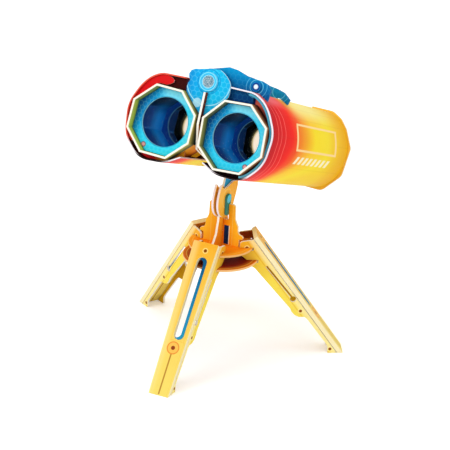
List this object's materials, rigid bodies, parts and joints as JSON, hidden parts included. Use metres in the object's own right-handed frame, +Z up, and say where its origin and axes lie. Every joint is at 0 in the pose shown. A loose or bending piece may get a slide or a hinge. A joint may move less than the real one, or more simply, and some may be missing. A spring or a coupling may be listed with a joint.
{
  "type": "toy binoculars",
  "caption": "Toy binoculars of slotted printed card on a tripod, with hooded octagonal barrels that fold about a hinge rod and tilt on a post.",
  "frame": {"origin": "on the ground under the middle of the whole object", "axes": "+Z up, objectives toward -Y, the barrel at the viewer's right at +X"},
  "size_m": [0.1846, 0.2224, 0.251],
  "materials": {
    "yellow": "printed card",
    "gold": "printed card",
    "orange": "printed card",
    "red": "printed card",
    "shell": "satin printed card",
    "lime": "printed card",
    "cyan": "printed card",
    "blue": "printed card",
    "navy": "printed card",
    "maroon": "printed card",
    "dark": "printed card",
    "cream": "milky plastic",
    "clear": "clear plastic"
  },
  "bodies": {
    "tripod": {"disc_lower": "orange", "disc_upper": "orange", "leg_front_cheek_left": "gold", "leg_front_cheek_right": "gold", "leg_front_face": "yellow", "leg_front_slot_liner": "blue", "leg_left_cheek_left": "gold", "leg_left_cheek_right": "gold", "leg_left_face": "yellow", "leg_left_slot_liner": "blue", "leg_right_cheek_left": "gold", "leg_right_cheek_right": "gold", "leg_right_face": "yellow", "leg_right_slot_liner": "blue", "post_cross_plate": "orange", "post_spine_plate": "gold", "tilt_cap_left": "cyan", "tilt_cap_right": "cyan", "tilt_pin": "blue"},
    "bridge": {"hinge_cap": "cyan", "hinge_nut": "blue", "hinge_rod": "cream", "hinge_shield_front": "cyan", "hinge_shield_rear": "blue", "keel_plate": "maroon", "tilt_plate_left": "gold", "tilt_plate_right": "gold"},
    "barrel_right": {"baffle_right": "navy", "end_plate_right": "lime", "eyecup_right": "dark", "eyepiece_lens_right": "clear", "eyepiece_tube_right": "navy", "face_ring_right": "cyan", "field_lens_right": "cream", "former_front_right": "red", "former_mid_right": "orange", "hinge_arm_right_front": "blue", "hinge_arm_right_rear": "blue", "hinge_arm_rivet": "cream", "hood_right": "lime", "inner_tube_right": "navy", "lens_holder_right": "lime", "objective_lens_right": "clear", "shell_right": "shell"},
    "barrel_left": {"baffle_left": "navy", "end_plate_left": "lime", "eyecup_left": "dark", "eyepiece_lens_left": "clear", "eyepiece_tube_left": "navy", "face_ring_left": "cyan", "field_lens_left": "cream", "former_front_left": "red", "former_mid_left": "orange", "hinge_arm_left_front": "blue", "hinge_arm_left_rear": "blue", "hood_left": "lime", "inner_tube_left": "navy", "lens_holder_left": "lime", "objective_lens_left": "clear", "shell_left": "shell"}
  },
  "joints": [
    {"name": "tilt", "type": "hinge", "parent": "tripod", "child": "bridge", "pos_m": [0, -0.00945, 0.1305], "axis": [1, 0, 0], "range_deg": [-20, 35]},
    {"name": "fold_right", "type": "hinge", "parent": "bridge", "child": "barrel_right", "pos_m": [0, -0.02283, 0.23004], "axis": [0, -0.9205, 0.3907], "range_deg": [-2.5, 8]},
    {"name": "fold_left", "type": "hinge", "parent": "bridge", "child": "barrel_left", "pos_m": [0, -0.02283, 0.23004], "axis": [0, 0.9205, -0.3907], "range_deg": [-2.5, 8]}
  ],
  "couplings": [
    {"joint": "fold_left", "follows": "fold_right", "ratio": 1}
  ]
}
